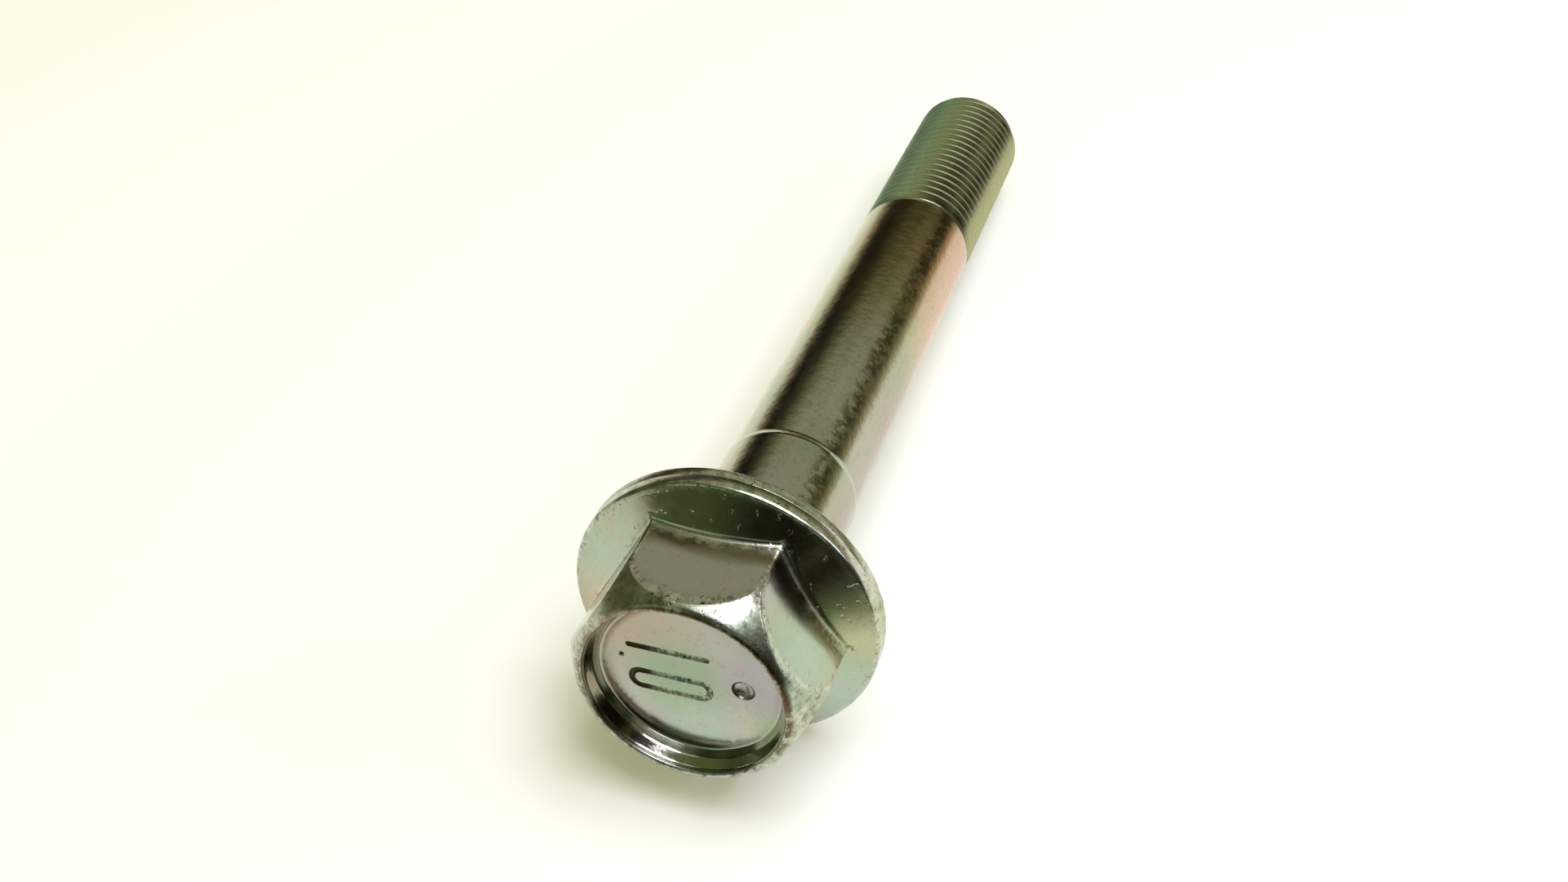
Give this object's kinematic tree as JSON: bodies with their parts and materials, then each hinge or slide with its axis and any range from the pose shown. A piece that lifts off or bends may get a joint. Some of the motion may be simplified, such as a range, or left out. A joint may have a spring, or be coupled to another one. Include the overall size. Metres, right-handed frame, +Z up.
{
  "type": "control arm bolt",
  "caption": "Hexagon flange bolt with a dished head, a short pilot collar, a plain shank and a fine-threaded end, for clamping a suspension arm's bush in its bracket.",
  "frame": {"origin": "centre of the bolt's box in plan, on the surface that it lies on", "axes": "+X from the head towards the thread's tip, dipping 4.6 degrees below level; +Z up; a flat of the hexagon faces up, 2 degrees off level"},
  "size_m": [0.1138, 0.0296, 0.0298],
  "materials": {
    "zinc_plate": "satin to glossy zinc plate with a thin iridescent passivation, pale green, pink and straw"
  },
  "bodies": {
    "root": {"flange_bolt": "zinc_plate"}
  },
  "joints": []
}
